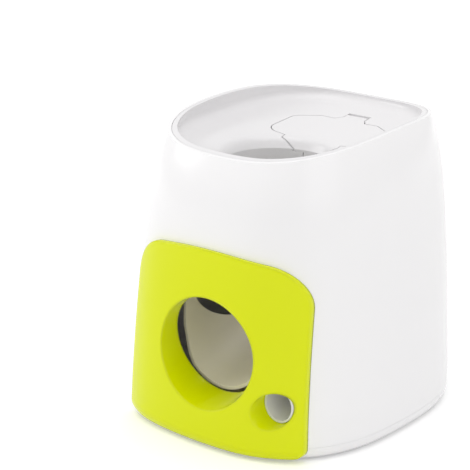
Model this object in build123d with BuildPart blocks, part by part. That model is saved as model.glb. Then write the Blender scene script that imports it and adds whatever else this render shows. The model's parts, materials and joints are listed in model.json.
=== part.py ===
"""Ball-fed treat dispenser: a ball dropped in the top lands on a tilting scoop, rolls out of the
front, and the scoop's tilt turns a small drum that pours one dose of treats.

Millimetres, +Z up, front towards -Y. The origin is on the floor, under the middle of the base.
"""
import os
from math import acos, atan2, cos, degrees, hypot, pi, radians, sin, sqrt, tan

from build123d import *

os.makedirs("parts", exist_ok=True)

# Ball and its path
ball_d = 65.0
path_x = 6.0
throat_y = -32.0
throat_r = 37.0

# Housing outline: height on the middle line, forward tilt in degrees, half width, half depth
outline = [
    (0.0, 0.0, 97.6, 111.0),
    (9.0, 0.0, 101.0, 114.6),
    (25.0, 0.0, 100.5, 114.3),
    (63.0, 0.0, 98.6, 112.4),
    (105.0, 0.0, 95.6, 109.2),
    (147.0, 0.8, 92.0, 105.2),
    (176.0, 2.0, 88.2, 101.0),
    (194.0, 3.2, 84.6, 96.4),
    (204.0, 3.6, 82.0, 92.6),
    (222.0, 3.6, 75.5, 84.0),
]
squareness = 2.7
outline_points = 28
rows_between = 2
past_all = 400.0
wall = 2.6
foot_h = 2.0
seam_z = 10.0
seat_gap = 0.2

# Rim: it crowns along the depth and rises towards the sides
rim_crown_z = 211.3
rim_crown_y = 42.0
rim_crown_r = 660.0
rim_side_r = 1200.0

# Funnel tray
tray_wall = 2.4
tray_band_low_z = 184.0
tray_hollow_z = 201.0
tray_hollow_tilt = 3.6
skirt_wall = 2.2
throat_lip_z = 190.0
skirt_h = 22.0

# Dish: height, tilt, half width, half depth, centre x, centre y, squareness, side share of offset
dish = [
    (224.0, 3.6, 69.6, 78.0, 0.0, 0.0, 2.7, 1.0),
    (212.0, 3.6, 73.6, 83.2, 0.0, 0.0, 2.7, 1.0),
    (203.5, 3.6, 75.2, 85.4, 0.0, 0.0, 2.7, 0.9),
    (199.0, 3.2, 71.0, 81.5, 0.3, -0.8, 2.6, 0.5),
    (196.6, 2.7, 63.0, 73.0, 1.4, -6.0, 2.4, 0.25),
    (194.2, 2.0, 51.0, 57.5, 3.6, -18.5, 2.2, 0.25),
    (190.0, 0.8, 40.6, 41.0, 5.6, -30.8, 2.0, 0.7),
    (182.0, 0.0, 36.0, 36.0, 6.0, -32.0, 2.0, 1.0),
]

# Treat lid, seen from above
lid_x = 6.0
lid_half_w = 41.0
lid_front_y = 3.0
lid_back_y = 51.0
lid_corner_r = 9.0
lid_gap = 0.6
lid_side_y = 40.0
lid_shoulder_half_w = 24.0
lid_tab_root_half_w = 14.0
lid_tab_half_w = 9.0
lid_tab_straight_y = 57.0
lid_slot_back_gap = 1.0
lid_step_half_w = 24.0
lid_step = 3.5
lid_ledge = 3.0
lid_ledge_t = 2.4
lid_collar = 2.0
lid_under_gap = 0.35
tongue_half_w = 6.0
tongue_low_z = 176.0
lid_block_z = (160.0, 240.0)
tongue_block_h = 60.0
hinge_y = 61.0
hinge_z = 196.2
hinge_pin_r = 1.25
hinge_barrel_r = 3.2
hinge_cheek_w = 3.0
hinge_cheek_r = 4.0
running_gap = 0.05

# Front panel
panel_t = 3.0
panel_x = 8.0
panel_half_w = 72.0
panel_taper = 4.0
panel_low_z = 2.8
panel_top_z = 138.3
panel_arch = 8.0
panel_top_r = 30.0
panel_low_r = 7.0

# Ball exit
exit_x = 10.5
exit_z = 67.0
exit_r = 39.0
sleeve_back_y = -92.0
sleeve_back_r = 35.8
sleeve_back_z = 70.5
sleeve_front_y = -118.0
sleeve_wall = 2.2
sleeve_lean = 12.4
hole_gap = 0.6

# Treat exit and chute
treat_exit = (61.1, -106.0, 36.7)
treat_r = 12.2
treat_sleeve_wall = 1.8
treat_sleeve_back_y = -89.0
chute_wall = 1.4
chute_front_y = -97.0
chute_gap = 0.35
chute_top_z = 72.0

# Scoop: a tilting trough under the throat
scoop_r = 36.0
scoop_wall = 2.2
scoop_slope = 20.0
scoop_front_y = -90.0
scoop_floor_z = 36.0
scoop_back_y = 2.0
scoop_ear_z = 97.0
scoop_scallop_r = 44.0
scoop_scallop_front = (-38.0, 110.7)
scoop_scallop_back = (-20.0, 112.7)
scoop_rake = 4.0
scoop_rake_low_z = 44.0
scoop_rake_high_z = 62.0
scoop_travel = 12.0
scoop_web_t = 4.0
pivot_y = -78.0
pivot_z = 28.0
pivot_r = 2.5
pivot_hub_r = 5.0
block_t = 4.0
block_gap = 0.5
block_half_w = 9.0
block_screw_y = 5.5
block_top_r = 5.4
clip_t = 0.6
clip_w = 1.8
clip_room = 1.2
clip_mouth = 3.0

# Return spring round the scoop's shaft
spring_room = 8.2
spring_side_gap = 1.3
spring_wire_r = 0.5
spring_r = 3.6
spring_pitch = 1.5
spring_turns = 4
spring_low_leg = 21.5
spring_high_leg = 26.0

# Gears: a long toothed arm on the scoop turns the pinion on the drum shaft
module = 1.5
arm_teeth = 160
pinion_teeth = 16
pressure_angle = 20.0
backlash = 0.14
mesh_angle = 40.0
teeth_below = 2
teeth_above = 8
arm_x = 46.2
arm_t = 3.2
arm_hub_r = 8.0
arm_rim_w = 6.0
spoke_w = 7.0
arm_tie_r = 78.0
arm_tie_w = 5.0
arm_screw_radii = (50.0, 32.0)
arm_screw_l = 8.0
arm_screw_head_h = 1.4
tooth_root_sink = 0.5
pinion_t = 4.4

# Dosing drum
drum_r = 21.0
drum_w = 25.0
drum_x = 67.0
drum_gap = 0.5
drum_case_wall = 2.2
drum_end_gap = 0.6
drum_shaft_r = 2.5
pocket_r = 11.0
pocket_end_wall = 2.0
bush_r = 4.5
bush_flange_r = 6.0
bush_flange_t = 1.0
shaft_over = 1.0
inlet_half_w = 9.5
inlet_half_l = 11.0
case_flange_t = 3.0
case_flange_w = 6.0
flange_screw_in = 3.4
flange_corner_r = 3.0
cap_ear_out = 1.6
cap_ear_l = 9.0
cap_screw_l = 8.0
case_flange_z = 141.0
spout_y_shift = -10.0
spout_r = 11.7
spout_wall = 1.6
spout_low_z = 80.0
wiper_t = 1.0
wiper_gap = 0.3
wiper_below_flange = 4.0
cup_gap = 0.4
cup_top_z = 88.0

# Treat hopper
hopper_wall = 1.8
hopper_top_z = 184.0
hopper_x = (-46.0, 70.0)
hopper_y = (14.5, 79.0)
hopper_straight = 4.0
hopper_neck_h = 5.0
hopper_spout_r = 2.0
hopper_corner_r = 26.0
hopper_flange_w = 4.0
hopper_flange_t = 2.5
hopper_ear_out = 5.0
hopper_ear_y = 40.0
hopper_back_ear_x = 24.0
hopper_ear_r = 5.0

# Duct between throat and scoop
duct_wall = 2.0
duct_gap = 0.3
duct_socket_h = 12.0
duct_step = 0.3
duct_ear_out = 5.5
duct_lug_x = 42.0
stop_gap_deg = 0.15
stop_lug_deg = 3.0
duct_front_z = 112.0
duct_back_z = 94.0

# Base
base_floor = 3.0
base_lip_h = 4.0
base_lip_t = 2.0
base_edge_r = 2.5
buffer_post_r = 5.0
buffer_cap_t = 4.0
buffer_gap = 0.4
buffer_rest_y = -6.0
buffer_edge_r = 1.0
chute_post_r = 4.0
foot_r = 9.0
foot_inset_h = 1.5
foot_edge = 0.8
foot_spots = [(-70.0, -62.0), (70.0, -62.0), (-70.0, 62.0), (70.0, 62.0)]
post_r = 7.0
post_h = 34.0
post_spots = [(-72.0, -81.0), (72.0, -81.0), (-72.0, 81.0), (72.0, 81.0)]

# Screws
screw_r = 1.5
screw_head_r = 3.0
screw_head_h = 2.0
screw_gap = 0.15
thread_gap = 0.05
screw_sink = 1.8
screw_slot_l = 2.0
screw_slot_w = 0.8
screw_slot_depth = 1.0
screw_l = 9.0
boss_r = 3.6

# Worked out from the sizes above
scoop_left = path_x - scoop_r - scoop_wall
block_xs = [(scoop_left - block_gap - block_t, scoop_left - block_gap),
            (arm_x + arm_t + block_gap, arm_x + arm_t + block_gap + block_t)]
block_screw_spots = [((low + high) / 2, pivot_y + side * block_screw_y) for low, high in block_xs
                     for side in (-1, 1)]
pivot = (pivot_y, pivot_z)
arm_pitch_r = module * arm_teeth / 2
pinion_pitch_r = module * pinion_teeth / 2
gear_centres = arm_pitch_r + pinion_pitch_r
drum_y = pivot_y + gear_centres * cos(radians(mesh_angle))
drum_z = pivot_z + gear_centres * sin(radians(mesh_angle))
spout_y = drum_y + spout_y_shift
chute_top = (drum_x, spout_y, chute_top_z)
chute_r = treat_r - chute_gap
chute_in_r = chute_r - chute_wall
cup_in_r = spout_r + spout_wall + cup_gap
cup_r = cup_in_r + chute_wall
cup_low_z = chute_top_z - chute_r
cup_floor_z = cup_low_z - chute_wall
duct_r = throat_r + duct_wall
duct_cut = (duct_front_z - duct_back_z) / 2
skirt_r = throat_r + skirt_wall
socket_in_r = skirt_r + duct_gap
socket_r = socket_in_r + duct_wall
skirt_low_z = throat_lip_z - skirt_h
socket_low_z = skirt_low_z - duct_step
socket_top_z = socket_low_z + duct_socket_h
duct_ears = [(path_x - socket_r - duct_ear_out, throat_y), (path_x + socket_r + duct_ear_out, throat_y)]
hopper_mid = ((hopper_x[0] + hopper_x[1]) / 2, (hopper_y[0] + hopper_y[1]) / 2)
hopper_size = (hopper_x[1] - hopper_x[0], hopper_y[1] - hopper_y[0])
hopper_ears = [(hopper_x[0] - hopper_ear_out, hopper_ear_y), (hopper_x[1] + hopper_ear_out, hopper_ear_y),
               (hopper_mid[0] - hopper_back_ear_x, hopper_y[1] + hopper_ear_out),
               (hopper_mid[0] + hopper_back_ear_x, hopper_y[1] + hopper_ear_out)]


def side_plane(x):
    """Plane at x whose own axes are Y and Z, and whose normal is +X."""
    return Plane(origin=(x, 0, 0), x_dir=(0, 1, 0), z_dir=(1, 0, 0))


def section_plane(z, tilt, x=0.0, y=0.0):
    """Level plane at height z, tilted so that its front is lower."""
    t = radians(tilt)
    return Plane(origin=(x, y, z), x_dir=(1, 0, 0), z_dir=(0, -sin(t), cos(t)))


def superellipse(half_w, half_d, power):
    """Points of a rounded-square outline."""
    points = []
    for i in range(outline_points):
        t = 2 * pi * i / outline_points
        c, s = cos(t), sin(t)
        x = half_w * abs(c) ** (2 / power) * (1 if c >= 0 else -1)
        y = half_d * abs(s) ** (2 / power) * (1 if s >= 0 else -1)
        points.append((x, y))
    return points


def ring(points):
    """A closed smooth curve through points, evenly parametrised so that lofted rings match."""
    return Edge.make_spline([Vector(x, y) for x, y in points], periodic=True,
                            parameters=list(range(len(points) + 1)))


def slopes(values):
    """A slope at each of the values that keeps the curve through them from overshooting."""
    steps = [b - a for a, b in zip(values, values[1:])]
    inner_slopes = [2 * a * b / (a + b) if a * b > 0 else 0.0 for a, b in zip(steps, steps[1:])]
    return [steps[0], *inner_slopes, steps[-1]]


def eased(table):
    """The rows of a table with smoothly eased rows put between them."""
    columns = list(zip(*table))
    ends = [slopes(column) for column in columns]
    rows = []
    for i in range(len(table) - 1):
        for k in range(rows_between + 1):
            t = k / (rows_between + 1)
            rows.append(tuple(c[i] * (1 + 2 * t) * (1 - t) ** 2 + e[i] * t * (1 - t) ** 2
                              + c[i + 1] * t * t * (3 - 2 * t) + e[i + 1] * t * t * (t - 1)
                              for c, e in zip(columns, ends)))
    rows.append(table[-1])
    return rows


def barrel(inset):
    """The housing's outline as a solid, drawn in by inset all round."""
    with BuildPart() as solid:
        for z, tilt, half_w, half_d in eased(outline):
            with BuildSketch(section_plane(z, tilt)):
                with BuildLine():
                    add(ring(superellipse(half_w - inset, half_d - inset, squareness)))
                make_face()
        loft()
    return solid.part


def dish_solid(offset):
    """The hollow of the funnel, grown outwards and downwards by offset."""
    with BuildPart() as solid:
        for z, tilt, half_w, half_d, x, y, power, side in reversed(eased(dish)):
            grow = offset * side
            drop = offset * sqrt(max(0.0, 1 - side * side))
            with BuildSketch(section_plane(z - drop, tilt, x, y)):
                with BuildLine():
                    add(ring(superellipse(half_w + grow, half_d + grow, power)))
                make_face()
        loft()
    return solid.part


def above_rim(drop):
    """Everything above the rim's crowned surface, lowered by drop."""
    top = rim_crown_z - drop
    reach = 130.0
    rise = reach**2 / (2 * rim_side_r)
    with BuildPart() as solid:
        with BuildSketch(Plane(origin=(0, rim_crown_y, 0), x_dir=(1, 0, 0), z_dir=(0, -1, 0))):
            with BuildLine():
                ThreePointArc((-reach, top + rise), (0, top), (reach, top + rise))
                Polyline((reach, top + rise), (reach, top + 60), (-reach, top + 60), (-reach, top + rise))
            make_face()
        revolve(axis=Axis((0, rim_crown_y, rim_crown_z - rim_crown_r), (1, 0, 0)), revolution_arc=360)
    return solid.part


def slab(low, high):
    """A block wider than the part, from low to high."""
    with BuildPart() as solid:
        with Locations((0, 0, low)):
            Box(past_all, past_all, high - low, align=(Align.CENTER, Align.CENTER, Align.MIN))
    return solid.part


def below(z, tilt):
    """A block under the tilted plane that crosses the middle line at z."""
    with BuildPart() as solid:
        with BuildSketch(section_plane(z, tilt)):
            Rectangle(past_all, past_all)
        extrude(amount=-60)
    return solid.part


def tube_along(start, end, radius, extend=0.0):
    """A round bar from start to end, run on past both by extend."""
    a, b = Vector(*start), Vector(*end)
    way = (b - a).normalized()
    with BuildPart() as solid:
        with BuildSketch(Plane(origin=a - way * extend, z_dir=way)):
            Circle(radius)
        extrude(amount=(b - a).length + 2 * extend)
    return solid.part


def wall_y(x, z, inset):
    """Depth of the housing's front wall at x and z, for heights where it isn't tilted."""
    for (z0, _, w0, d0), (z1, _, w1, d1) in zip(outline, outline[1:]):
        if z0 <= z <= z1:
            share = (z - z0) / (z1 - z0)
            half_w = w0 + (w1 - w0) * share - inset
            half_d = d0 + (d1 - d0) * share - inset
            return -half_d * (1 - abs(x / half_w) ** squareness) ** (1 / squareness)
    raise ValueError("height outside the outline")


def turned(y, z, angle):
    """Where a point of the scoop goes when the scoop is pressed by angle degrees."""
    t = radians(angle)
    dy, dz = y - pivot_y, z - pivot_z
    return pivot_y + dy * cos(t) + dz * sin(t), pivot_z - dy * sin(t) + dz * cos(t)


def scoop_floor(y):
    """Height of the scoop's inner floor at rest."""
    return scoop_floor_z + (y - scoop_front_y) * tan(radians(scoop_slope))


def polar(centre, radius, angle):
    """A point in a side plane, from a centre, a radius and an angle from +Y towards +Z."""
    t = radians(angle)
    return centre[0] + radius * cos(t), centre[1] + radius * sin(t)


# Screw places and the lands that take them
panel_bosses = [(-44.0, 114.0), (58.0, 114.0), (-54.0, 20.0), (34.0, 18.0)]
panel_pad_r = 6.0
panel_pad_l = 7.0
panel_boss_r = 3.2
tray_lugs = [(-47.0, -74.0), (47.0, -74.0), (-75.0, 0.0), (75.0, 0.0), (0.0, 88.0)]
lug_z = 176.0
lug_t = 3.0
lug_r = 7.5
tray_boss_low = lug_z + lug_t


def panel_pad_y(spot):
    """Depth of the flat inner end of the pad behind a panel screw."""
    return wall_y(spot[0], spot[1], wall) + panel_pad_l


def sleeve_cone(grow, front_y, back_y):
    """The tapering round space of the ball exit, grown by grow."""
    length = sleeve_back_y - sleeve_front_y
    with BuildPart() as solid:
        for y in (front_y, back_y):
            share = (y - sleeve_front_y) / length
            radius = exit_r + (sleeve_back_r - exit_r) * share + grow
            z = exit_z + (sleeve_back_z - exit_z) * share
            with BuildSketch(Plane(origin=(exit_x, y, z), x_dir=(1, 0, 0), z_dir=(0, -1, 0))):
                Circle(radius)
        loft()
    return solid.part


def upright(spots, z, radius, height):
    """Round bars standing at each of the spots."""
    with BuildPart() as bars:
        with Locations(*[(x, y, z) for x, y in spots]):
            Cylinder(radius, height, align=(Align.CENTER, Align.CENTER, Align.MIN))
    return bars.part


def towards_front(spot, y, radius, length):
    """A round bar along -Y from depth y, at the x and z of spot."""
    with BuildPart() as bar:
        with BuildSketch(Plane(origin=(spot[0], y, spot[1]), x_dir=(1, 0, 0), z_dir=(0, -1, 0))):
            Circle(radius)
        extrude(amount=length)
    return bar.part


def crosswise(y, z, x_low, x_high, radius):
    """A round bar along X."""
    with BuildPart() as bar:
        with BuildSketch(side_plane(x_low)):
            with Locations((y, z)):
                Circle(radius)
        extrude(amount=x_high - x_low)
    return bar.part


def screw_group(label, spots, z, way, length):
    """Pan-head screws at the spots, heads at height z, shanks pointing along way, +1 or -1."""
    with BuildPart() as screws:
        for x, y in spots:
            with BuildSketch(Plane(origin=(x, y, z), x_dir=(1, 0, 0), z_dir=(0, 0, way))):
                Circle(screw_r)
            extrude(amount=length)
            with BuildSketch(Plane(origin=(x, y, z), x_dir=(1, 0, 0), z_dir=(0, 0, -way))):
                Circle(screw_head_r)
            extrude(amount=screw_head_h)
            with BuildSketch(Plane(origin=(x, y, z - way * screw_head_h), x_dir=(1, 0, 0),
                                   z_dir=(0, 0, way))):
                Rectangle(2 * screw_slot_l, screw_slot_w)
                Rectangle(screw_slot_w, 2 * screw_slot_l)
            extrude(amount=screw_slot_depth, mode=Mode.SUBTRACT)
    save(screws, label)


def save(piece, label):
    """Writes a finished piece, moved so that the origin is under the middle of the whole."""
    solid = piece.part.moved(Location((0, (panel_t + seat_gap) / 2, 0)))
    solid.label = label
    export_step(solid, "parts/" + label + ".step")


outer = barrel(0)
inner = barrel(wall)
dish_top = dish_solid(0)
rim_cut = above_rim(0)

# Body shell, with the posts, lands and lugs that the screws go into
shell_posts = upright(post_spots, foot_h + base_floor, post_r, post_h)
with BuildPart() as shell_lugs:
    for x, y in tray_lugs:
        lug_plane = Plane(origin=(x, y, lug_z), x_dir=(x / hypot(x, y), y / hypot(x, y), 0), z_dir=(0, 0, 1))
        with BuildSketch(lug_plane):
            Circle(lug_r)
            with Locations((lug_r, 0)):
                Rectangle(2 * lug_r, 2 * lug_r)
        extrude(amount=lug_t)
with BuildPart() as shell_inside:
    add(shell_posts)
    add(shell_lugs.part)
    for spot in panel_bosses:
        add(towards_front(spot, panel_pad_y(spot), panel_pad_r, 30))
    add(barrel(wall / 2), mode=Mode.INTERSECT)
with BuildPart() as base_rim_room:
    add(slab(0, seam_z))
    add(barrel(wall + seat_gap), mode=Mode.SUBTRACT)


def treat_bar(radius, back_y):
    """A round bar along the treat chute's line, from outside the panel back to depth back_y."""
    with BuildPart() as bar:
        add(tube_along(treat_exit, chute_top, radius, 30))
        with Locations((0, back_y, 0)):
            Box(past_all, past_all, past_all, align=(Align.CENTER, Align.MIN, Align.CENTER), mode=Mode.SUBTRACT)
    return bar.part


with BuildPart() as body_shell:
    add(outer)
    add(inner, mode=Mode.SUBTRACT)
    add(slab(-5, seam_z), mode=Mode.SUBTRACT)
    add(rim_cut, mode=Mode.SUBTRACT)
    add(shell_inside.part)
    add(base_rim_room.part, mode=Mode.SUBTRACT)
    add(sleeve_cone(sleeve_wall + hole_gap, -130, -80), mode=Mode.SUBTRACT)
    add(treat_bar(treat_r + treat_sleeve_wall + hole_gap, treat_sleeve_back_y + 20), mode=Mode.SUBTRACT)
    add(upright(post_spots, 0, screw_r + thread_gap, foot_h + base_floor + screw_l + 2), mode=Mode.SUBTRACT)
    add(upright(tray_lugs, lug_z - 1, screw_r + screw_gap, lug_t + 2), mode=Mode.SUBTRACT)
    for spot in panel_bosses:
        back = panel_pad_y(spot)
        add(towards_front(spot, back + 1, screw_r + screw_gap, 30), mode=Mode.SUBTRACT)
        add(towards_front(spot, back - panel_pad_l + 2, panel_boss_r + seat_gap, 30), mode=Mode.SUBTRACT)
save(body_shell, "body_shell")

# Front panel, with both exit sleeves
with BuildPart() as panel_slab:
    with BuildSketch(Plane(origin=(0, -135, 0), x_dir=(1, 0, 0), z_dir=(0, -1, 0))) as outline_sketch:
        with BuildLine():
            low_l = (panel_x - panel_half_w, panel_low_z)
            low_r = (panel_x + panel_half_w, panel_low_z)
            high_l = (panel_x - panel_half_w + panel_taper, panel_top_z - panel_arch)
            high_r = (panel_x + panel_half_w - panel_taper, panel_top_z - panel_arch)
            Polyline(high_l, low_l, low_r, high_r)
            ThreePointArc(high_r, (panel_x, panel_top_z), high_l)
        make_face()
        fillet(outline_sketch.vertices().group_by(Axis.Y)[-1], panel_top_r)
        fillet(outline_sketch.vertices().group_by(Axis.Y)[0], panel_low_r)
    extrude(amount=-95)

with BuildPart() as panel_plate:
    add(barrel(-panel_t - seat_gap))
    add(barrel(-seat_gap), mode=Mode.SUBTRACT)
    add(panel_slab.part, mode=Mode.INTERSECT)

with BuildPart() as panel_sleeves:
    add(sleeve_cone(sleeve_wall, -130, sleeve_back_y))
    with BuildSketch(side_plane(exit_x - 2 * exit_r)):
        with BuildLine():
            Polyline((sleeve_back_y, exit_z - exit_r), (sleeve_back_y + 1, exit_z + 2 * exit_r),
                     (sleeve_back_y - 1.5 * sleeve_lean, exit_z + 2 * exit_r), close=True)
        make_face()
    extrude(amount=4 * exit_r, mode=Mode.SUBTRACT)
    add(treat_bar(treat_r + treat_sleeve_wall, treat_sleeve_back_y))
    add(barrel(-panel_t - seat_gap), mode=Mode.INTERSECT)
with BuildPart() as front_panel:
    add(panel_plate.part)
    add(panel_sleeves.part)
    for spot in panel_bosses:
        add(towards_front(spot, panel_pad_y(spot) - panel_pad_l + 2 - seat_gap, panel_boss_r, 7))
    add(sleeve_cone(0, -140, -80), mode=Mode.SUBTRACT)
    add(tube_along(treat_exit, chute_top, treat_r, 40), mode=Mode.SUBTRACT)
    for spot in panel_bosses:
        add(towards_front(spot, panel_pad_y(spot), screw_r + thread_gap, screw_l), mode=Mode.SUBTRACT)
save(front_panel, "front_panel")

# Base plate: floor, outer rim up to the seam, inner lip that the shell drops over, buffer post
buffer_y, scoop_low_z = turned(buffer_rest_y, scoop_floor(buffer_rest_y) - scoop_wall
                               / cos(radians(scoop_slope)), scoop_travel)
buffer_z = (scoop_low_z - buffer_post_r * tan(radians(scoop_slope - scoop_travel))
            - buffer_gap - buffer_cap_t)
buffer_spot = (path_x, buffer_y)
with BuildPart() as base_lip:
    add(barrel(wall + seat_gap))
    add(barrel(wall + seat_gap + base_lip_t), mode=Mode.SUBTRACT)
    add(slab(foot_h, seam_z + base_lip_h), mode=Mode.INTERSECT)
    add(upright(post_spots, 0, post_r + hole_gap, 60), mode=Mode.SUBTRACT)
    for spot in panel_bosses:
        add(towards_front(spot, panel_pad_y(spot) + 2, panel_pad_r + hole_gap, 30), mode=Mode.SUBTRACT)
with BuildPart() as base_hollow:
    add(inner)
    add(slab(foot_h + base_floor, seam_z + 1), mode=Mode.INTERSECT)
with BuildPart() as base_plate:
    add(outer)
    add(slab(foot_h, seam_z), mode=Mode.INTERSECT)
    fillet(base_plate.faces().sort_by(Axis.Z)[0].edges(), base_edge_r)
    add(base_hollow.part, mode=Mode.SUBTRACT)
    add(base_lip.part)
    add(upright([buffer_spot], foot_h + base_floor, buffer_post_r, buffer_z - foot_h - base_floor))
    add(upright([(drum_x, spout_y)], foot_h + base_floor, chute_post_r, cup_floor_z - foot_h - base_floor))
    add(upright(foot_spots, 0, foot_r + seat_gap, foot_h + foot_inset_h), mode=Mode.SUBTRACT)
    base_holes = post_spots + block_screw_spots
    add(upright(base_holes, 0, screw_r + screw_gap, 20), mode=Mode.SUBTRACT)
    add(upright(base_holes, 0, screw_head_r + seat_gap, foot_h + screw_sink), mode=Mode.SUBTRACT)
save(base_plate, "base_plate")

with BuildPart() as rubber_feet:
    for x, y in foot_spots:
        with BuildSketch(Plane.XY):
            with Locations((x, y)):
                Circle(foot_r)
        extrude(amount=foot_h + foot_inset_h)
    chamfer(rubber_feet.faces().group_by(Axis.Z)[0].edges(), foot_edge)
save(rubber_feet, "rubber_feet")

with BuildPart() as scoop_buffer:
    with BuildSketch(Plane.XY.offset(buffer_z)):
        with Locations(buffer_spot):
            Circle(buffer_post_r)
    extrude(amount=buffer_cap_t)
    fillet(scoop_buffer.faces().sort_by(Axis.Z)[-1].edges(), buffer_edge_r)
save(scoop_buffer, "scoop_buffer")

screw_group("base_screws", post_spots, foot_h + screw_sink, 1, screw_l)
screw_group("block_screws", block_screw_spots, foot_h + screw_sink, 1, screw_l)


# Scoop: a sloping half pipe with tall front ears, turning on a fixed shaft under its front end
def scoop_channel(radius, height):
    """The scoop's hollow or outside as a long bar of U section."""
    slope = radians(scoop_slope)
    run_on = 15.0
    start_y = scoop_front_y - run_on
    base = Plane(origin=(path_x, start_y, scoop_floor(start_y)), x_dir=(-1, 0, 0),
                 z_dir=(0, cos(slope), sin(slope)))
    with BuildPart() as bar:
        with BuildSketch(base):
            with Locations((0, scoop_r)):
                Circle(radius)
            with Locations((0, scoop_r)):
                Rectangle(2 * radius, height, align=(Align.CENTER, Align.MIN))
        extrude(amount=(scoop_back_y - scoop_front_y + 2 * run_on) / cos(slope))
    return bar.part


arm_low_angle = mesh_angle - (teeth_below + 0.5) * 360 / arm_teeth
arm_high_angle = mesh_angle + (teeth_above + 0.5) * 360 / arm_teeth
arm_root_r = arm_pitch_r - 1.25 * module
arm_inner_r = arm_root_r - arm_rim_w
spoke_high_angle = arm_high_angle - degrees(spoke_w / 2 / arm_inner_r)
spoke_low_angle = arm_low_angle + degrees(spoke_w / 2 / arm_inner_r)
arm_screw_spots = [polar(pivot, r, spoke_high_angle) for r in arm_screw_radii]
hub_x = (scoop_left + spring_room, path_x + scoop_r)
scallop_turn = degrees(atan2(scoop_scallop_back[1] - scoop_scallop_front[1],
                            scoop_scallop_back[0] - scoop_scallop_front[0]))

with BuildPart() as ball_scoop:
    add(scoop_channel(scoop_r + scoop_wall, 70))
    add(crosswise(pivot_y, pivot_z, hub_x[0], hub_x[1], pivot_hub_r))
    with Locations(((hub_x[0] + hub_x[1]) / 2, pivot_y, pivot_z)):
        Box(hub_x[1] - hub_x[0], scoop_web_t, scoop_r, align=(Align.CENTER, Align.CENTER, Align.MIN))
    for y, z in arm_screw_spots:
        add(crosswise(y, z, path_x, arm_x, boss_r))
    add(scoop_channel(scoop_r, 90), mode=Mode.SUBTRACT)
    with BuildSketch(side_plane(path_x - 2 * scoop_r)):
        with Locations(scoop_scallop_front, scoop_scallop_back):
            Circle(scoop_scallop_r)
        with BuildLine():
            Polyline(polar(scoop_scallop_front, scoop_scallop_r, scallop_turn - 90),
                     polar(scoop_scallop_back, scoop_scallop_r, scallop_turn - 90),
                     polar(scoop_scallop_back, scoop_scallop_r, scallop_turn + 90),
                     polar(scoop_scallop_front, scoop_scallop_r, scallop_turn + 90), close=True)
        make_face()
        with BuildLine():
            Polyline((scoop_front_y, scoop_rake_low_z), (scoop_front_y + scoop_rake, scoop_rake_high_z),
                     (scoop_front_y + scoop_rake, scoop_ear_z + 1), (scoop_front_y - 1, scoop_ear_z + 1),
                     (scoop_front_y - 1, scoop_rake_low_z), close=True)
        make_face()
    extrude(amount=4 * scoop_r, mode=Mode.SUBTRACT)
    with Locations((path_x, scoop_front_y, 0)):
        Box(past_all, past_all, past_all, align=(Align.CENTER, Align.MAX, Align.CENTER), mode=Mode.SUBTRACT)
    with Locations((path_x, scoop_back_y, 0)):
        Box(past_all, past_all, past_all, align=(Align.CENTER, Align.MIN, Align.CENTER), mode=Mode.SUBTRACT)
    with Locations((path_x, 0, scoop_ear_z)):
        Box(past_all, past_all, past_all, align=(Align.CENTER, Align.CENTER, Align.MIN), mode=Mode.SUBTRACT)
    add(crosswise(pivot_y, pivot_z, -60, 60, pivot_r + running_gap), mode=Mode.SUBTRACT)
    for y, z in arm_screw_spots:
        add(crosswise(y, z, arm_x - arm_screw_l + arm_t - 1, arm_x + 1, screw_r + thread_gap),
            mode=Mode.SUBTRACT)
save(ball_scoop, "ball_scoop")

shaft_x = (block_xs[0][0] - clip_room, block_xs[1][1] + clip_room)
with BuildPart() as scoop_shaft:
    add(crosswise(pivot_y, pivot_z, shaft_x[0], shaft_x[1], pivot_r))
save(scoop_shaft, "scoop_shaft")

with BuildPart() as shaft_clips:
    for low in (block_xs[0][0] - clip_t, block_xs[1][1]):
        with BuildSketch(side_plane(low)):
            with Locations(pivot):
                Circle(pivot_r + clip_w)
                Circle(pivot_r + thread_gap, mode=Mode.SUBTRACT)
                Rectangle(clip_mouth, 2 * (pivot_r + clip_w), align=(Align.CENTER, Align.MAX),
                          mode=Mode.SUBTRACT)
        extrude(amount=clip_t)
save(shaft_clips, "shaft_clips")

for label, (low, high) in zip(("left_pivot_block", "right_pivot_block"), block_xs):
    with BuildPart() as block:
        with BuildSketch(side_plane(low)):
            with Locations(pivot):
                Circle(block_top_r)
            with BuildLine():
                Polyline((pivot_y - block_half_w, foot_h + base_floor),
                         (pivot_y + block_half_w, foot_h + base_floor),
                         (pivot_y + block_top_r, pivot_z), (pivot_y - block_top_r, pivot_z), close=True)
            make_face()
            with Locations(pivot):
                Circle(pivot_r + thread_gap, mode=Mode.SUBTRACT)
        extrude(amount=high - low)
        add(upright(block_screw_spots, 0, screw_r + thread_gap, foot_h + screw_sink + screw_l + 0.5),
            mode=Mode.SUBTRACT)
    save(block, label)

# Return spring round the scoop shaft, between the left block and the scoop's hub: one leg pushes on
# the base, the other on the scoop, and each turn is two half rings
spring_x = block_xs[0][1] + spring_side_gap
spring_y = pivot_y + spring_r
half_r = hypot(spring_r, spring_pitch / 4)
with BuildPart() as return_spring:
    with BuildLine():
        Line((spring_x, spring_y, pivot_z - spring_low_leg), (spring_x, spring_y, pivot_z))
        for i in range(2 * spring_turns):
            side = 1 if i % 2 == 0 else -1
            x = spring_x + i * spring_pitch / 2
            ThreePointArc((x, pivot_y + side * spring_r, pivot_z),
                          (x + spring_pitch / 4, pivot_y, pivot_z + side * half_r),
                          (x + spring_pitch / 2, pivot_y - side * spring_r, pivot_z))
        spring_end_x = spring_x + spring_turns * spring_pitch
        Line((spring_end_x, spring_y, pivot_z), (spring_end_x, spring_y, pivot_z + spring_high_leg))
    with BuildSketch(Plane(origin=(spring_x, spring_y, pivot_z - spring_low_leg), x_dir=(1, 0, 0),
                           z_dir=(0, 0, 1))):
        Circle(spring_wire_r)
    sweep()
save(return_spring, "return_spring")


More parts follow.
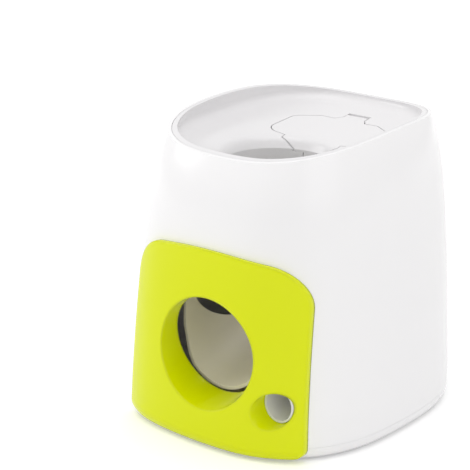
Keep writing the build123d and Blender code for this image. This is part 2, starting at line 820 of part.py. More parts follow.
# Gears
def involute_half_angle(radius, pitch_r, teeth):
    """Half the angle that a tooth fills at a radius, in radians."""
    base_r = pitch_r * cos(radians(pressure_angle))
    at_pitch = tan(radians(pressure_angle)) - radians(pressure_angle)
    roll = acos(min(1.0, base_r / radius))
    return pi / (2 * teeth) - backlash / pitch_r + at_pitch - (tan(roll) - roll)


def tooth(centre, pitch_r, teeth, angle):
    """One involute tooth pointing at angle, as a face that starts inside the root circle."""
    base_r = pitch_r * cos(radians(pressure_angle))
    root_r = pitch_r - 1.25 * module
    tip_r = pitch_r + module
    low_r = max(base_r, root_r)
    radii = [low_r + (tip_r - low_r) * i / 3 for i in range(4)]
    halves = [degrees(involute_half_angle(r, pitch_r, teeth)) for r in radii]
    left = [polar(centre, r, angle + h) for r, h in zip(radii, halves)]
    right = [polar(centre, r, angle - h) for r, h in zip(radii, halves)]
    foot_left = polar(centre, root_r - tooth_root_sink, angle + halves[0])
    foot_right = polar(centre, root_r - tooth_root_sink, angle - halves[0])
    with BuildSketch(Plane.XY) as face:
        with BuildLine():
            Spline(*left)
            ThreePointArc(left[-1], polar(centre, tip_r, angle), right[-1])
            Spline(*reversed(right))
            Polyline(right[0], foot_right, foot_left, left[0])
        make_face()
    return face.sketch


with BuildPart() as sector_gear:
    with BuildSketch(side_plane(arm_x)):
        with Locations(pivot):
            Circle(arm_root_r)
            Circle(arm_inner_r, mode=Mode.SUBTRACT)
        with BuildLine():
            Polyline(pivot, polar(pivot, 2 * arm_root_r, arm_low_angle),
                     polar(pivot, 2 * arm_root_r, arm_high_angle), close=True)
        make_face(mode=Mode.INTERSECT)
        for i in range(-teeth_below, teeth_above + 1):
            add(tooth(pivot, arm_pitch_r, arm_teeth, mesh_angle + i * 360 / arm_teeth))
        with Locations(pivot):
            Circle(arm_hub_r)
        for angle in (spoke_low_angle, spoke_high_angle):
            with Locations(Location((pivot[0], pivot[1], 0), (0, 0, angle))):
                Rectangle(arm_inner_r + 1, spoke_w, align=(Align.MIN, Align.CENTER))
        tie_a = polar(pivot, arm_tie_r, spoke_low_angle)
        tie_b = polar(pivot, arm_tie_r, spoke_high_angle)
        with Locations(Location(((tie_a[0] + tie_b[0]) / 2, (tie_a[1] + tie_b[1]) / 2, 0),
                                (0, 0, degrees(atan2(tie_b[1] - tie_a[1], tie_b[0] - tie_a[0]))))):
            Rectangle(hypot(tie_b[0] - tie_a[0], tie_b[1] - tie_a[1]), arm_tie_w)
        with Locations(pivot):
            Circle(pivot_r + running_gap, mode=Mode.SUBTRACT)
        with Locations(*arm_screw_spots):
            Circle(screw_r + screw_gap, mode=Mode.SUBTRACT)
    extrude(amount=arm_t)
save(sector_gear, "sector_gear")

with BuildPart() as arm_screws:
    for y, z in arm_screw_spots:
        add(crosswise(y, z, arm_x + arm_t - arm_screw_l, arm_x + arm_t, screw_r))
        add(crosswise(y, z, arm_x + arm_t, arm_x + arm_t + arm_screw_head_h, screw_head_r))
save(arm_screws, "arm_screws")

pinion_x = arm_x + arm_t / 2 - pinion_t / 2
drum_axis = (drum_y, drum_z)
with BuildPart() as drum_pinion:
    with BuildSketch(side_plane(pinion_x)):
        with Locations(drum_axis):
            Circle(pinion_pitch_r - 1.25 * module)
        for i in range(pinion_teeth):
            add(tooth(drum_axis, pinion_pitch_r, pinion_teeth,
                      mesh_angle + 180 + (i + 0.5) * 360 / pinion_teeth))
        with Locations(drum_axis):
            Circle(drum_shaft_r + thread_gap, mode=Mode.SUBTRACT)
    extrude(amount=pinion_t)
save(drum_pinion, "drum_pinion")

# Dosing drum in its case
drum_low_x = drum_x - drum_w / 2
drum_high_x = drum_x + drum_w / 2
case_bore_r = drum_r + drum_gap
case_r = case_bore_r + drum_case_wall
case_low_x = drum_low_x - drum_end_gap - drum_case_wall
case_high_x = drum_high_x + drum_end_gap
cap_high_x = case_high_x + drum_case_wall

with BuildPart() as treat_drum:
    add(crosswise(drum_y, drum_z, drum_low_x, drum_high_x, drum_r))
    add(crosswise(drum_y, drum_z + drum_r, drum_low_x + pocket_end_wall, drum_high_x - pocket_end_wall,
                  pocket_r), mode=Mode.SUBTRACT)
    add(crosswise(drum_y, drum_z, drum_low_x - 1, drum_high_x + 1, drum_shaft_r + thread_gap),
        mode=Mode.SUBTRACT)
save(treat_drum, "treat_drum")

with BuildPart() as drum_shaft:
    add(crosswise(drum_y, drum_z, pinion_x - shaft_over, cap_high_x + bush_flange_t + shaft_over,
                  drum_shaft_r))
save(drum_shaft, "drum_shaft")

with BuildPart() as drum_bushes:
    for wall_x, out in ((case_low_x, -1), (cap_high_x, 1)):
        end = wall_x + out * bush_flange_t
        near = wall_x - out * drum_case_wall
        add(crosswise(drum_y, drum_z, min(near, wall_x), max(near, wall_x), bush_r))
        add(crosswise(drum_y, drum_z, min(end, wall_x), max(end, wall_x), bush_flange_r))
    add(crosswise(drum_y, drum_z, 0, 100, drum_shaft_r + running_gap), mode=Mode.SUBTRACT)
save(drum_bushes, "drum_bushes")

inlet = (2 * inlet_half_l, 2 * inlet_half_w)
neck = (inlet[0] + 2 * drum_case_wall, inlet[1] + 2 * drum_case_wall)
flange = (neck[0] + 2 * case_flange_w, neck[1] + 2 * case_flange_w)
flange_spots = [(drum_x + sx * (flange[0] / 2 - flange_screw_in),
                 drum_y + sy * (flange[1] / 2 - flange_screw_in)) for sx in (-1, 1) for sy in (-1, 1)]
cap_ear_angles = (45.0, 135.0, 215.0, 325.0)
cap_ears = [polar(drum_axis, case_r + cap_ear_out, a) for a in cap_ear_angles]

with BuildPart() as drum_case:
    add(crosswise(drum_y, drum_z, case_low_x, case_high_x, case_r))
    for y, z in cap_ears:
        add(crosswise(y, z, case_high_x - cap_ear_l, case_high_x, boss_r))
    with BuildSketch(Plane.XY.offset(drum_z)):
        with Locations((drum_x, drum_y)):
            Rectangle(*neck)
    extrude(amount=case_flange_z - drum_z)
    with BuildSketch(Plane.XY.offset(case_flange_z - case_flange_t)):
        with Locations((drum_x, drum_y)):
            RectangleRounded(*flange, flange_corner_r)
    extrude(amount=case_flange_t)
    add(upright([(drum_x, spout_y)], spout_low_z, spout_r + spout_wall, drum_z - spout_low_z))
    with BuildSketch(Plane.XY.offset(drum_z)):
        with Locations((drum_x, drum_y)):
            Rectangle(*inlet)
    extrude(amount=case_flange_z - drum_z, mode=Mode.SUBTRACT)
    add(upright([(drum_x, spout_y)], spout_low_z - 1, spout_r, drum_z - spout_low_z - 1), mode=Mode.SUBTRACT)
    add(crosswise(drum_y, drum_z, drum_low_x - drum_end_gap, case_high_x, case_bore_r), mode=Mode.SUBTRACT)
    add(crosswise(drum_y, drum_z, case_high_x, case_high_x + drum_case_wall, case_r + seat_gap),
        mode=Mode.SUBTRACT)
    add(crosswise(drum_y, drum_z, 0, drum_x, bush_r + thread_gap), mode=Mode.SUBTRACT)
    for y, z in cap_ears:
        add(crosswise(y, z, case_high_x - cap_screw_l, case_high_x + 1, screw_r + thread_gap),
            mode=Mode.SUBTRACT)
    add(upright(flange_spots, case_flange_z - 5, screw_r + screw_gap, 10), mode=Mode.SUBTRACT)
save(drum_case, "drum_case")

with BuildPart() as drum_case_cap:
    with BuildSketch(side_plane(case_high_x)):
        with Locations(drum_axis):
            Circle(case_r)
        with Locations(*cap_ears):
            Circle(boss_r)
        with Locations(drum_axis):
            Circle(bush_r + thread_gap, mode=Mode.SUBTRACT)
        with Locations(*cap_ears):
            Circle(screw_r + screw_gap, mode=Mode.SUBTRACT)
    extrude(amount=drum_case_wall)
save(drum_case_cap, "drum_case_cap")

with BuildPart() as cap_screws:
    for y, z in cap_ears:
        add(crosswise(y, z, cap_high_x - cap_screw_l, cap_high_x, screw_r))
        add(crosswise(y, z, cap_high_x, cap_high_x + screw_head_h, screw_head_r))
save(cap_screws, "cap_screws")

wiper_top_z = case_flange_z - wiper_below_flange
wiper_y = drum_y - inlet_half_w + wiper_t / 2
wiper_low_z = drum_z + sqrt(case_bore_r**2 - (wiper_y - wiper_t / 2 - drum_y) ** 2) + wiper_gap
with BuildPart() as drum_wiper:
    with BuildSketch(Plane.XY.offset(wiper_low_z)):
        with Locations((drum_x, wiper_y)):
            Rectangle(inlet[0] - 2 * seat_gap, wiper_t)
    extrude(amount=wiper_top_z - wiper_low_z)
save(drum_wiper, "drum_wiper")

# Hopper: wide mouth under the lid, spout over the drum


def hopper_solid(grow, low, high):
    """Loft from the wide mouth down to the spout, grown by grow."""
    with BuildPart() as solid:
        with BuildSketch(Plane.XY.offset(high)):
            with Locations(hopper_mid):
                RectangleRounded(hopper_size[0] + 2 * grow, hopper_size[1] + 2 * grow,
                                 hopper_corner_r + grow)
        with BuildSketch(Plane.XY.offset(hopper_top_z - hopper_straight)):
            with Locations(hopper_mid):
                RectangleRounded(hopper_size[0] + 2 * grow, hopper_size[1] + 2 * grow,
                                 hopper_corner_r + grow)
        with BuildSketch(Plane.XY.offset(low + hopper_neck_h)):
            with Locations((drum_x, drum_y)):
                RectangleRounded(inlet[0] + 2 * grow, inlet[1] + 2 * grow, hopper_spout_r + grow)
        loft(ruled=True)
        with BuildSketch(Plane.XY.offset(low)):
            with Locations((drum_x, drum_y)):
                RectangleRounded(inlet[0] + 2 * grow, inlet[1] + 2 * grow, hopper_spout_r + grow)
        extrude(amount=hopper_neck_h)
    return solid.part


with BuildPart() as treat_hopper:
    add(hopper_solid(hopper_wall, case_flange_z, hopper_top_z))
    with BuildSketch(Plane.XY.offset(hopper_top_z - hopper_flange_t)):
        with Locations(hopper_mid):
            RectangleRounded(hopper_size[0] + 2 * hopper_flange_w, hopper_size[1] + 2 * hopper_flange_w,
                             hopper_corner_r + hopper_flange_w)
        with Locations(*hopper_ears):
            Circle(hopper_ear_r)
    extrude(amount=hopper_flange_t)
    with BuildSketch(Plane.XY.offset(case_flange_z)):
        with Locations((drum_x, drum_y)):
            RectangleRounded(*flange, flange_corner_r)
    extrude(amount=hopper_flange_t)
    add(hopper_solid(0, case_flange_z, hopper_top_z), mode=Mode.SUBTRACT)
    add(upright(hopper_ears, hopper_top_z - 5, screw_r + screw_gap, 10), mode=Mode.SUBTRACT)
    add(upright(flange_spots, case_flange_z - 1, screw_r + thread_gap, hopper_flange_t + 1.5),
        mode=Mode.SUBTRACT)
save(treat_hopper, "treat_hopper")
screw_group("case_screws", flange_spots, case_flange_z - case_flange_t, 1, case_flange_t + hopper_flange_t)
screw_group("hopper_screws", hopper_ears, hopper_top_z - hopper_flange_t, 1, screw_l)

# Treat chute: cup under the drum's spout, and a sloping tube into the panel's sleeve
with BuildPart() as treat_chute:
    add(tube_along(treat_exit, chute_top, chute_r))
    add(upright([(drum_x, spout_y)], cup_floor_z, cup_r, cup_top_z - cup_floor_z))
    add(tube_along(treat_exit, chute_top, chute_in_r), mode=Mode.SUBTRACT)
    add(upright([(drum_x, spout_y)], cup_low_z, cup_in_r, cup_top_z - cup_low_z + 1), mode=Mode.SUBTRACT)
    with Locations((0, chute_front_y, 0)):
        Box(past_all, past_all, past_all, align=(Align.CENTER, Align.MAX, Align.CENTER), mode=Mode.SUBTRACT)
save(treat_chute, "treat_chute")

# Ball duct between the throat and the scoop
with BuildPart() as ball_duct:
    add(upright([(path_x, throat_y)], duct_back_z - 10, duct_r, socket_low_z - duct_back_z + 10))
    add(upright([(path_x, throat_y)], socket_low_z - duct_wall, socket_r, duct_socket_h + duct_wall))
    with BuildSketch(Plane.XY.offset(socket_top_z - lug_t)):
        for x, y in duct_ears:
            with Locations((x, y)):
                Circle(boss_r + 1)
            with Locations(((x + path_x) / 2, y)):
                Rectangle(abs(x - path_x), 2 * boss_r + 2)
    extrude(amount=lug_t)
    with BuildSketch(side_plane(duct_lug_x)):
        with BuildLine():
            stop = arm_high_angle + stop_gap_deg
            Polyline(polar(pivot, arm_inner_r, stop), polar(pivot, arm_root_r, stop),
                     polar(pivot, arm_root_r, stop + stop_lug_deg),
                     polar(pivot, arm_inner_r, stop + stop_lug_deg), close=True)
        make_face()
    extrude(amount=arm_x + arm_t - duct_lug_x)
    add(upright([(path_x, throat_y)], 0, throat_r, past_all), mode=Mode.SUBTRACT)
    add(upright([(path_x, throat_y)], socket_low_z, socket_in_r, 100), mode=Mode.SUBTRACT)
    with BuildSketch(side_plane(-100)):
        with BuildLine():
            Polyline((throat_y - 2 * duct_r, duct_front_z + duct_cut),
                     (throat_y + 2 * duct_r, duct_back_z - duct_cut),
                     (throat_y + 2 * duct_r, 0), (throat_y - 2 * duct_r, 0), close=True)
        make_face()
    extrude(amount=100 + duct_lug_x, mode=Mode.SUBTRACT)
    add(upright(duct_ears, 0, screw_r + screw_gap, 300), mode=Mode.SUBTRACT)
save(ball_duct, "ball_duct")
screw_group("duct_screws", duct_ears, socket_top_z - lug_t, 1, screw_l)


def lid_outline(grow, with_tab):
    """A tall block with the lid's outline seen from above, grown by grow."""
    end_y = hinge_y + (hinge_barrel_r + lid_slot_back_gap if grow else 0)
    half = [(lid_step_half_w + grow, lid_front_y - grow),
            (lid_step_half_w + grow, lid_front_y + lid_step - grow),
            (lid_half_w + grow, lid_front_y + lid_step - grow),
            (lid_half_w + grow, lid_side_y + grow / 2),
            (lid_shoulder_half_w + grow / 2, lid_back_y + grow)]
    tab = [(lid_tab_root_half_w + grow, lid_back_y - 1),
           (lid_tab_half_w + grow, lid_tab_straight_y),
           (lid_tab_half_w + grow, end_y)]
    with BuildPart() as prism:
        with BuildSketch(Plane.XY.offset(lid_block_z[0])) as shape:
            with BuildLine():
                Polyline(*[(lid_x - x, y) for x, y in half], *[(lid_x + x, y) for x, y in reversed(half)],
                         close=True)
            make_face()
            corners = [v for v in shape.vertices() if abs(abs(v.X - lid_x) - lid_half_w - grow) < 0.01]
            fillet(corners, lid_corner_r)
            if with_tab:
                with BuildLine():
                    Polyline(*[(lid_x - x, y) for x, y in tab], *[(lid_x + x, y) for x, y in reversed(tab)],
                             close=True)
                make_face()
        extrude(amount=lid_block_z[1] - lid_block_z[0])
    return prism.part


def tongue_bar(grow):
    """The block that the lid's tongue is cut from."""
    with BuildPart() as bar:
        with Locations((lid_x, throat_y + skirt_r / 2, tongue_low_z - grow)):
            Box(2 * (tongue_half_w + grow), skirt_r + 2 * grow, tongue_block_h,
                align=(Align.CENTER, Align.CENTER, Align.MIN))
    return bar.part


throat_bore = upright([(path_x, throat_y)], 100, throat_r, 120)
dish_under = dish_solid(tray_wall)
with BuildPart() as lid_tongue:
    add(upright([(path_x, throat_y)], tongue_low_z, skirt_r, throat_lip_z - tongue_low_z))
    add(tongue_bar(0), mode=Mode.INTERSECT)
    add(dish_top, mode=Mode.SUBTRACT)
with BuildPart() as treat_lid:
    add(dish_under)
    add(lid_outline(0, True), mode=Mode.INTERSECT)
    add(dish_top, mode=Mode.SUBTRACT)
    add(lid_tongue.part)
    add(crosswise(hinge_y, hinge_z, lid_x - lid_tab_half_w, lid_x + lid_tab_half_w, hinge_barrel_r))
    add(throat_bore, mode=Mode.SUBTRACT)
    add(crosswise(hinge_y, hinge_z, lid_x - 20, lid_x + 20, hinge_pin_r + running_gap), mode=Mode.SUBTRACT)
save(treat_lid, "treat_lid")

cheek_in = lid_tab_half_w + lid_gap
cheek_out = cheek_in + hinge_cheek_w
with BuildPart() as lid_hinge_pin:
    add(crosswise(hinge_y, hinge_z, lid_x - cheek_out, lid_x + cheek_out, hinge_pin_r))
save(lid_hinge_pin, "lid_hinge_pin")

ledge_low = dish_solid(tray_wall + lid_under_gap + lid_ledge_t)
ledge_top = dish_solid(tray_wall + lid_under_gap)
with BuildPart() as lid_frame:
    add(ledge_low)
    add(lid_outline(lid_gap + lid_collar, False), mode=Mode.INTERSECT)
with BuildPart() as lid_pocket:
    add(ledge_top)
    add(lid_outline(lid_gap, True), mode=Mode.INTERSECT)

with BuildPart() as tray_block:
    add(barrel(wall + seat_gap))
    add(slab(tray_band_low_z, 240), mode=Mode.INTERSECT)
    add(rim_cut, mode=Mode.SUBTRACT)
    add(dish_top, mode=Mode.SUBTRACT)
with BuildPart() as tray_hollow:
    add(barrel(wall + seat_gap + tray_wall))
    add(below(tray_hollow_z, tray_hollow_tilt), mode=Mode.INTERSECT)
    add(slab(tray_band_low_z - 2, 240), mode=Mode.INTERSECT)
    add(dish_under, mode=Mode.SUBTRACT)
    add(upright([(path_x, throat_y)], 150, skirt_r, 60), mode=Mode.SUBTRACT)
    for spots in (tray_lugs, hopper_ears, duct_ears):
        add(upright(spots, socket_top_z, boss_r, 60), mode=Mode.SUBTRACT)
with BuildPart() as funnel_tray:
    add(tray_block.part)
    add(tray_hollow.part, mode=Mode.SUBTRACT)
    add(upright([(path_x, throat_y)], skirt_low_z, skirt_r, tray_band_low_z + 1 - skirt_low_z))
    add(upright(tray_lugs, tray_boss_low, boss_r, tray_band_low_z + 1 - tray_boss_low))
    add(upright(duct_ears, socket_top_z, boss_r, tray_band_low_z + 1 - socket_top_z))
    add(lid_frame.part)
    add(lid_outline(-lid_ledge, False), mode=Mode.SUBTRACT)
    add(lid_pocket.part, mode=Mode.SUBTRACT)
    for side in (-1, 1):
        mid = lid_x + side * (cheek_in + cheek_out) / 2
        add(crosswise(hinge_y, hinge_z, mid - hinge_cheek_w / 2, mid + hinge_cheek_w / 2, hinge_cheek_r))
        with Locations((mid, hinge_y, hinge_z)):
            Box(hinge_cheek_w, 2 * hinge_cheek_r, 10, align=(Align.CENTER, Align.CENTER, Align.MIN))
    with Locations((lid_x, hinge_y, 180)):
        Box(2 * cheek_in, 2 * (hinge_barrel_r + lid_slot_back_gap), 60,
            align=(Align.CENTER, Align.CENTER, Align.MIN), mode=Mode.SUBTRACT)
    add(dish_top, mode=Mode.SUBTRACT)
    add(throat_bore, mode=Mode.SUBTRACT)
    add(tongue_bar(lid_gap), mode=Mode.SUBTRACT)
    add(crosswise(hinge_y, hinge_z, lid_x - 20, lid_x + 20, hinge_pin_r + thread_gap), mode=Mode.SUBTRACT)
    add(upright(tray_lugs, tray_boss_low - 5, screw_r + thread_gap, screw_l + 4), mode=Mode.SUBTRACT)
    add(upright(hopper_ears, hopper_top_z - 5, screw_r + thread_gap, screw_l + 4), mode=Mode.SUBTRACT)
    add(upright(duct_ears, socket_top_z - 5, screw_r + thread_gap, screw_l + 4), mode=Mode.SUBTRACT)
save(funnel_tray, "funnel_tray")
screw_group("tray_screws", tray_lugs, lug_z, 1, screw_l)

with BuildPart() as panel_screws:
    for spot in panel_bosses:
        back = panel_pad_y(spot)
        add(towards_front(spot, back, screw_r, screw_l))
        add(towards_front(spot, back + screw_head_h, screw_head_r, screw_head_h))
save(panel_screws, "panel_screws")
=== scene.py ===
"""Looks for a free-standing ball-fed treat dispenser: a white moulded housing with a dished
funnel on top, a hinged treat lid in it, and a glossy lime panel with a ball exit and a treat exit.

Metres, +Z up, front towards -Y. Every piece keeps its own mesh and gets a material after how it is
made: gloss-moulded, spark-eroded, turned from steel or moulded in rubber.
"""

import json
import math

import bmesh
import bpy
from mathutils import Matrix, Vector

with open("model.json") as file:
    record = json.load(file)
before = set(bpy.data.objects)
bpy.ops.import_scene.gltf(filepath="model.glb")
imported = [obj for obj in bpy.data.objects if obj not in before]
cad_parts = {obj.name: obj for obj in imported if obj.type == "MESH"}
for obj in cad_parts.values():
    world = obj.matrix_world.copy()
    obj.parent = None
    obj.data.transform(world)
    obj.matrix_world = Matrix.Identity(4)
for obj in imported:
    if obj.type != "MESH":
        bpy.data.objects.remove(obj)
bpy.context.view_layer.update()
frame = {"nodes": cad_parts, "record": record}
nodes = frame["nodes"]
scene = bpy.context.scene
scene.view_settings.view_transform = "Standard"

PLASTIC_IOR = 1.49
RUBBER_IOR = 1.52
STEEL_IOR = 2.5

# Cosine between the true and the rounded normal, where wear starts and where it is full
WEAR_STARTS = 0.93
WEAR_FULL = 0.72


# Shader helpers


def new_material(name, colour, roughness, metallic=0.0, ior=PLASTIC_IOR):
    """A material whose constants sit on the shader's own sockets."""
    material = bpy.data.materials.new(name)
    material.use_nodes = True
    shader = material.node_tree.nodes["Principled BSDF"]
    shader.inputs["Base Color"].default_value = (*colour, 1.0)
    shader.inputs["Roughness"].default_value = roughness
    shader.inputs["Metallic"].default_value = metallic
    shader.inputs["IOR"].default_value = ior
    return material, shader


def add(material, kind, **settings):
    """A new node of this kind with these settings."""
    node = material.node_tree.nodes.new(kind)
    for key, value in settings.items():
        setattr(node, key, value)
    return node


def link(material, source, target):
    material.node_tree.links.new(source, target)


def feed(material, socket, value):
    """Links an output into the socket, or sets it to a plain number."""
    if isinstance(value, float):
        socket.default_value = value
    else:
        link(material, value, socket)


def object_space(material, stretch=(1.0, 1.0, 1.0)):
    """Object coordinates, in metres, stretched so that grain can run one way."""
    where = add(material, "ShaderNodeTexCoord")
    mapping = add(material, "ShaderNodeMapping")
    mapping.inputs["Scale"].default_value = stretch
    link(material, where.outputs["Object"], mapping.inputs["Vector"])
    return mapping.outputs["Vector"]


def noise(material, vector, scale, detail, roughness=0.55):
    node = add(material, "ShaderNodeTexNoise")
    node.inputs["Scale"].default_value = scale
    node.inputs["Detail"].default_value = detail
    node.inputs["Roughness"].default_value = roughness
    link(material, vector, node.inputs["Vector"])
    return node.outputs["Fac"]


def spread(material, value, low, high, out_low=0.0, out_high=1.0):
    """Maps low to high onto out_low to out_high, and holds the ends."""
    node = add(material, "ShaderNodeMapRange")
    node.inputs["From Min"].default_value = low
    node.inputs["From Max"].default_value = high
    node.inputs["To Min"].default_value = out_low
    node.inputs["To Max"].default_value = out_high
    link(material, value, node.inputs["Value"])
    return node.outputs["Result"]


def blend_colour(material, factor, first, second):
    """Mixes two colours, each given as a tuple or as another node's output.

    The node has an A, a B and a Result for each type of data, so its colour sockets go by number.
    """
    node = add(material, "ShaderNodeMix", data_type="RGBA")
    link(material, factor, node.inputs["Factor"])
    for socket, colour in ((node.inputs[6], first), (node.inputs[7], second)):
        if isinstance(colour, tuple):
            socket.default_value = (*colour, 1.0)
        else:
            link(material, colour, socket)
    return node.outputs[2]


def compute(material, operation, first, second):
    node = add(material, "ShaderNodeMath", operation=operation)
    feed(material, node.inputs[0], first)
    feed(material, node.inputs[1], second)
    return node.outputs[0]


def seen_factor(material):
    """1 for the camera's rays and for reflections, 0 for the light that falls on the piece."""
    rays = add(material, "ShaderNodeLightPath")
    return compute(material, "MAXIMUM", rays.outputs["Is Camera Ray"], rays.outputs["Is Glossy Ray"])


def edge_mask(material, radius, samples=6):
    """1 on worn edges, 0 on flats, and the rounded normal that the mask comes from."""
    rounded = add(material, "ShaderNodeBevel", samples=samples)
    rounded.inputs["Radius"].default_value = radius
    geometry = add(material, "ShaderNodeNewGeometry")
    dot = add(material, "ShaderNodeVectorMath", operation="DOT_PRODUCT")
    link(material, rounded.outputs["Normal"], dot.inputs[0])
    link(material, geometry.outputs["Normal"], dot.inputs[1])
    return spread(material, dot.outputs["Value"], WEAR_STARTS, WEAR_FULL), rounded.outputs["Normal"]


def set_colour(material, shader, tint, worn, edge_tint, wear):
    """Base colour: the tint, blended towards the edge tint where the piece is worn."""
    factor = compute(material, "MULTIPLY", worn, wear)
    link(material, blend_colour(material, factor, tint, edge_tint), shader.inputs["Base Color"])


def bump(material, shader, height, strength, distance, normal):
    """Surface relief on top of the rounded normal."""
    node = add(material, "ShaderNodeBump")
    node.inputs["Strength"].default_value = strength
    node.inputs["Distance"].default_value = distance
    link(material, height, node.inputs["Height"])
    link(material, normal, node.inputs["Normal"])
    link(material, node.outputs["Normal"], shader.inputs["Normal"])


def moulded(name, colour, shade, roughness, gloss_spread, shine, peel=0.04, edge=0.0006):
    """Injection-moulded plastic: flow shading, orange-peel skin, finger-worn gloss, rubbed edges."""
    material, shader = new_material(name, colour, roughness)
    shader.inputs["Specular IOR Level"].default_value = shine
    space = object_space(material)
    flow = noise(material, object_space(material, (1.0, 1.0, 0.35)), scale=9.0, detail=2.0)
    rub = noise(material, space, scale=16.0, detail=2.0, roughness=0.5)
    peel_height = noise(material, space, scale=900.0, detail=2.0)
    worn, rounded = edge_mask(material, edge)
    tint = blend_colour(material, spread(material, flow, 0.15, 0.85), colour, shade)
    edge_tint = tuple(min(1.0, 0.94 * c + 0.05) for c in colour)
    set_colour(material, shader, tint, worn, edge_tint, wear=0.5)
    gloss = spread(material, rub, 0.1, 0.9, roughness - gloss_spread, roughness + gloss_spread)
    duller = compute(material, "MULTIPLY", worn, 0.08)
    link(material, compute(material, "ADD", gloss, duller), shader.inputs["Roughness"])
    bump(material, shader, peel_height, strength=peel, distance=0.0002, normal=rounded)
    return material


def textured(name, colour, shade, roughness, grain=2400.0, depth=0.25):
    """Spark-eroded matt plastic with a fine even grain."""
    material, shader = new_material(name, colour, roughness)
    space = object_space(material)
    blotch = noise(material, space, scale=22.0, detail=4.0)
    fine = noise(material, space, scale=grain, detail=2.0, roughness=0.5)
    worn, rounded = edge_mask(material, radius=0.0004)
    tint = blend_colour(material, spread(material, blotch, 0.35, 0.68), colour, shade)
    edge_tint = tuple(min(1.0, 0.96 * c + 0.03) for c in colour)
    set_colour(material, shader, tint, worn, edge_tint, wear=0.6)
    gloss = spread(material, blotch, 0.3, 0.7, roughness - 0.06, roughness + 0.06)
    shinier = compute(material, "MULTIPLY", worn, -0.15)
    link(material, compute(material, "ADD", gloss, shinier), shader.inputs["Roughness"])
    bump(material, shader, fine, strength=depth, distance=0.00015, normal=rounded)
    return material


def turned_steel(name, colour, roughness):
    """Drawn or turned steel: fine lines round the axis, a film of oil and bright edges."""
    material, shader = new_material(name, colour, roughness, metallic=1.0, ior=STEEL_IOR)
    round_axis = object_space(material, (60.0, 1.0, 1.0))
    lines = noise(material, round_axis, scale=160.0, detail=4.0, roughness=0.7)
    film = noise(material, object_space(material), scale=120.0, detail=3.0)
    worn, rounded = edge_mask(material, radius=0.0002, samples=4)
    dark = tuple(0.72 * c for c in colour)
    tint = blend_colour(material, spread(material, film, 0.35, 0.7), colour, dark)
    bright = tuple(min(1.0, 1.3 * c) for c in colour)
    link(material, blend_colour(material, worn, tint, bright), shader.inputs["Base Color"])
    gloss = spread(material, lines, 0.3, 0.7, roughness - 0.1, roughness + 0.12)
    link(material, gloss, shader.inputs["Roughness"])
    bump(material, shader, lines, strength=0.12, distance=0.0001, normal=rounded)
    return material


def rubber(name, colour, shade, roughness):
    """Moulded rubber: dusty bloom, fine pores and softened edges."""
    material, shader = new_material(name, colour, roughness, ior=RUBBER_IOR)
    space = object_space(material)
    bloom = noise(material, space, scale=70.0, detail=5.0, roughness=0.6)
    pores = noise(material, space, scale=3200.0, detail=2.0)
    worn, rounded = edge_mask(material, radius=0.0005, samples=4)
    tint = blend_colour(material, spread(material, bloom, 0.4, 0.7), colour, shade)
    grey = tuple(0.8 * c + 0.08 for c in colour)
    set_colour(material, shader, tint, worn, grey, wear=0.5)
    gloss = spread(material, bloom, 0.3, 0.7, roughness - 0.08, roughness + 0.1)
    link(material, gloss, shader.inputs["Roughness"])
    bump(material, shader, pores, strength=0.3, distance=0.0002, normal=rounded)
    return material


# One look for each material slot of the record

looks = {
    "white_shell": moulded(
        "shell_white",
        colour=(0.925, 0.915, 0.92),
        shade=(0.905, 0.895, 0.902),
        roughness=0.21,
        gloss_spread=0.025,
        shine=0.4,
    ),
    # The tray's white is the shell's white darkened: painted shade for the inside of the dish.
    "white_tray": moulded(
        "tray_white_painted_shade",
        colour=(0.81, 0.798, 0.806),
        shade=(0.79, 0.778, 0.786),
        roughness=0.22,
        gloss_spread=0.025,
        shine=0.4,
    ),
    "lime_panel": moulded(
        "panel_lime",
        colour=(0.75, 0.82, 0.0),
        shade=(0.73, 0.80, 0.0),
        roughness=0.09,
        gloss_spread=0.02,
        shine=0.24,
        peel=0.02,
        edge=0.0028,
    ),
    "cream_scoop": textured("scoop_cream", (0.86, 0.80, 0.64), (0.82, 0.76, 0.60), 0.42),
    "inner_plastic": textured("inner_grey", (0.74, 0.75, 0.74), (0.69, 0.70, 0.69), 0.50),
    "gear_plastic": textured(
        "gear_natural", (0.86, 0.84, 0.78), (0.82, 0.80, 0.73), 0.38, grain=1600.0, depth=0.15
    ),
    "steel": turned_steel("steel_turned", (0.60, 0.60, 0.61), 0.30),
    "spring_steel": turned_steel("steel_spring", (0.44, 0.44, 0.46), 0.26),
    "soft_rubber": rubber("rubber_dark", (0.045, 0.045, 0.047), (0.075, 0.074, 0.072), 0.75),
    "wiper_rubber": rubber("rubber_pale", (0.66, 0.65, 0.60), (0.58, 0.57, 0.53), 0.6),
}
for row in frame["record"]["subparts"]:
    target = nodes[row["node"]]
    target.data.materials.clear()
    target.data.materials.append(looks[row["material_slot"]])


# Camera, fitted to the photographed outline: it stands to the right of the front and looks down

CAMERA_PLACE = (0.6206, -0.8401, 0.4540)
LENS_MM = 117.03
SENSOR_MM = 36.0

heading = math.radians(38.833)
dip = math.radians(17.686)
roll = math.radians(1.292)
forward = Vector((-math.sin(heading) * math.cos(dip), math.cos(heading) * math.cos(dip), -math.sin(dip)))
right = Vector((math.cos(heading), math.sin(heading), 0.0))
up = right.cross(forward)
camera_right = right * math.cos(roll) + up * math.sin(roll)
camera_up = up * math.cos(roll) - right * math.sin(roll)
camera_data = bpy.data.cameras.new("camera")
camera_data.lens = LENS_MM
camera_data.sensor_width = SENSOR_MM
camera_data.clip_start = 0.01
camera_data.clip_end = 30.0
camera = bpy.data.objects.new("camera", camera_data)
scene.collection.objects.link(camera)
facing = Matrix((camera_right, camera_up, -forward)).transposed().to_4x4()
camera.matrix_world = Matrix.Translation(CAMERA_PLACE) @ facing
scene.camera = camera


# Studio: three soft lamps, a white world and a pale floor that keeps the shadow


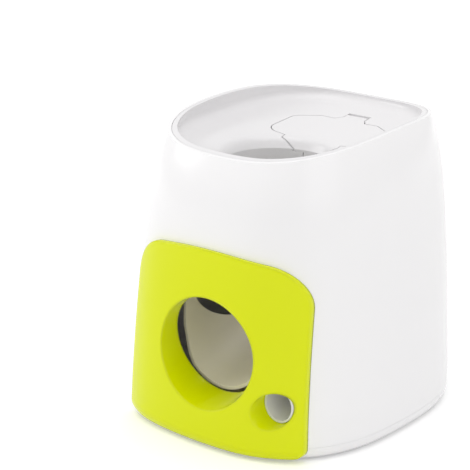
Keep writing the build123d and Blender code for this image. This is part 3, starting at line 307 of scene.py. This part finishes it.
def area_light(name, place, aim, side, power):
    """A square lamp, side metres wide, that faces the point it is aimed at."""
    data = bpy.data.lights.new(name, "AREA")
    data.shape = "RECTANGLE"
    data.size = side
    data.size_y = side
    data.energy = power
    lamp = bpy.data.objects.new(name, data)
    scene.collection.objects.link(lamp)
    lamp.location = place
    lamp.rotation_euler = (Vector(aim) - Vector(place)).to_track_quat("-Z", "Y").to_euler()


area_light("key_left", place=(-1.5, -0.9, 0.95), aim=(0.0, -0.03, 0.10), side=0.9, power=8.0)
area_light("fill_right", place=(1.7, -0.6, 0.9), aim=(0.0, 0.0, 0.10), side=1.3, power=4.6)
area_light("top_soft", place=(0.1, -0.1, 1.9), aim=(0.0, 0.0, 0.15), side=1.6, power=10.0)

# The world lights the piece at a lower level than the camera and reflections see it
WORLD_LIGHTS = 0.68
WORLD_SEEN = 1.0

world = bpy.data.worlds.new("studio")
scene.world = world
world.use_nodes = True
background = world.node_tree.nodes["Background"]
background.inputs["Color"].default_value = (1.0, 1.0, 1.0, 1.0)
level = spread(world, seen_factor(world), 0.0, 1.0, WORLD_LIGHTS, WORLD_SEEN)
link(world, level, background.inputs["Strength"])

# The floor glows for the camera and reflections alone, weakly under the piece and fully far away,
# so that its far edge meets the white world
FLOOR_HALF_SIDE = 4.0
GLOW_NEAR = 0.22
GLOW_FAR = 0.9
NEAR_REACH = 0.5
FAR_REACH = 2.5

floor_mesh = bpy.data.meshes.new("floor")
shape = bmesh.new()
bmesh.ops.create_grid(shape, x_segments=8, y_segments=8, size=FLOOR_HALF_SIDE)
shape.to_mesh(floor_mesh)
shape.free()
floor = bpy.data.objects.new("floor", floor_mesh)
scene.collection.objects.link(floor)
look, floor_shader = new_material("floor_pale", (0.92, 0.92, 0.92), 0.6)
floor_shader.inputs["Specular IOR Level"].default_value = 0.2
reach = add(look, "ShaderNodeVectorMath", operation="LENGTH")
link(look, object_space(look), reach.inputs[0])
fade = spread(look, reach.outputs["Value"], NEAR_REACH, FAR_REACH, GLOW_NEAR, GLOW_FAR)
glow = add(look, "ShaderNodeEmission")
link(look, compute(look, "MULTIPLY", seen_factor(look), fade), glow.inputs["Strength"])
both = add(look, "ShaderNodeAddShader")
link(look, floor_shader.outputs["BSDF"], both.inputs[0])
link(look, glow.outputs["Emission"], both.inputs[1])
link(look, both.outputs["Shader"], look.node_tree.nodes["Material Output"].inputs["Surface"])
floor_mesh.materials.append(look)
